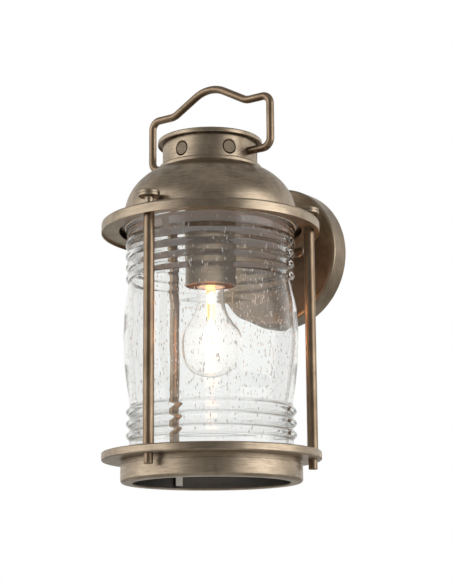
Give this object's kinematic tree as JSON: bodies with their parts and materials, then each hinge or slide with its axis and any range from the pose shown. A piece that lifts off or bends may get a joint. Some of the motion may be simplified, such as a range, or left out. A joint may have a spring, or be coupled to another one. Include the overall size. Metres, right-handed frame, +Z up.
{
  "type": "outdoor wall lantern",
  "caption": "Outdoor wall lantern with a round back plate, domed vented head, wire carrying handle, guard rods and a ribbed glass jar around a screw-in lamp.",
  "frame": {"origin": "centre of the mounting strap's rear face, level with the wall plate's rear rim, on the wall", "axes": "+Y into the wall, +X to the right when the lantern is faced, +Z up; the lantern's own axis is upright at x = 0, y = -0.130"},
  "size_m": [0.2062, 0.2331, 0.3822],
  "materials": {
    "burnished_brass": "brushed, antique burnished",
    "zinc_steel": "zinc plated",
    "spring_steel": "bright spring steel",
    "jar_glass": "clear seeded",
    "lamp_glass": "clear",
    "reflector_paint": "satin pale grey",
    "silicone": "matte translucent",
    "foam_rubber": "matte closed-cell",
    "holder_ceramic": "glazed",
    "contact_brass": "plain",
    "cap_aluminium": "satin",
    "black_glass": "gloss",
    "filament": "hot wire",
    "block_nylon": "matte",
    "lead_brown": "satin",
    "lead_blue": "satin"
  },
  "bodies": {
    "lantern": {"wall_plate": "burnished_brass", "arm_tube": "burnished_brass", "arm_escutcheon": "burnished_brass", "arm_saddle": "burnished_brass", "top_ring": "burnished_brass", "ring_underplate": "burnished_brass", "dome": "burnished_brass", "vent_collar": "burnished_brass", "vent_discs": "burnished_brass", "vent_liner": "burnished_brass", "vent_lid": "burnished_brass", "guard_rod_front": "burnished_brass", "guard_rod_right": "burnished_brass", "guard_rod_left": "burnished_brass", "foot_nuts": "burnished_brass", "lower_ring": "burnished_brass", "lower_ring_cover": "burnished_brass", "bottom_bezel": "burnished_brass", "socket_cup": "burnished_brass", "lid_screw": "burnished_brass", "mounting_strap": "zinc_steel", "plate_studs": "zinc_steel", "earth_screw": "zinc_steel", "arm_locknut": "zinc_steel", "lid_nut": "zinc_steel", "upper_spacers": "zinc_steel", "lower_spacers": "zinc_steel", "reflector_screws": "zinc_steel", "holder_nipple": "zinc_steel", "nipple_nut": "zinc_steel", "bezel_clips": "spring_steel", "glass_jar": "jar_glass", "reflector_plate": "reflector_paint", "glass_top_gasket": "silicone", "glass_bottom_gasket": "silicone", "wall_gasket": "foam_rubber", "lampholder_body": "holder_ceramic", "screw_shell": "contact_brass", "centre_contact": "contact_brass", "terminal_block": "block_nylon", "lead_live": "lead_brown", "lead_neutral": "lead_blue"},
    "handle": {"carry_handle": "burnished_brass", "handle_retainers": "zinc_steel"},
    "knob_front": {"knob_nut_front": "burnished_brass"},
    "knob_right": {"knob_nut_right": "burnished_brass"},
    "knob_left": {"knob_nut_left": "burnished_brass"},
    "plate_nut_l": {"plate_nut_left": "burnished_brass"},
    "plate_nut_r": {"plate_nut_right": "burnished_brass"},
    "lamp": {"lamp_contact": "contact_brass", "lamp_insulator": "black_glass", "lamp_cap": "cap_aluminium", "lamp_envelope": "lamp_glass", "lamp_stem": "lamp_glass", "filament_wires": "filament"}
  },
  "joints": [
    {"name": "handle_swing", "type": "hinge", "parent": "lantern", "child": "handle", "pos_m": [0, -0.13, 0.07651], "axis": [1, 0, 0], "range_deg": [-100, 100]},
    {"name": "knob_turn_front", "type": "hinge", "parent": "lantern", "child": "knob_front", "pos_m": [0, -0.2231, 0.0118], "axis": [0, 0, 1], "continuous": true},
    {"name": "knob_turn_right", "type": "hinge", "parent": "lantern", "child": "knob_right", "pos_m": [0.08063, -0.08345, 0.0118], "axis": [0, 0, 1], "continuous": true},
    {"name": "knob_turn_left", "type": "hinge", "parent": "lantern", "child": "knob_left", "pos_m": [-0.08063, -0.08345, 0.0118], "axis": [0, 0, 1], "continuous": true},
    {"name": "plate_nut_turn_l", "type": "hinge", "parent": "lantern", "child": "plate_nut_l", "pos_m": [-0.033, -0.0211, 0], "axis": [0, 1, 0], "continuous": true},
    {"name": "plate_nut_turn_r", "type": "hinge", "parent": "lantern", "child": "plate_nut_r", "pos_m": [0.033, -0.0211, 0], "axis": [0, 1, 0], "continuous": true},
    {"name": "lamp_turn", "type": "hinge", "parent": "lantern", "child": "lamp", "pos_m": [0, -0.13, -0.05], "axis": [0, 0, 1], "continuous": true}
  ]
}
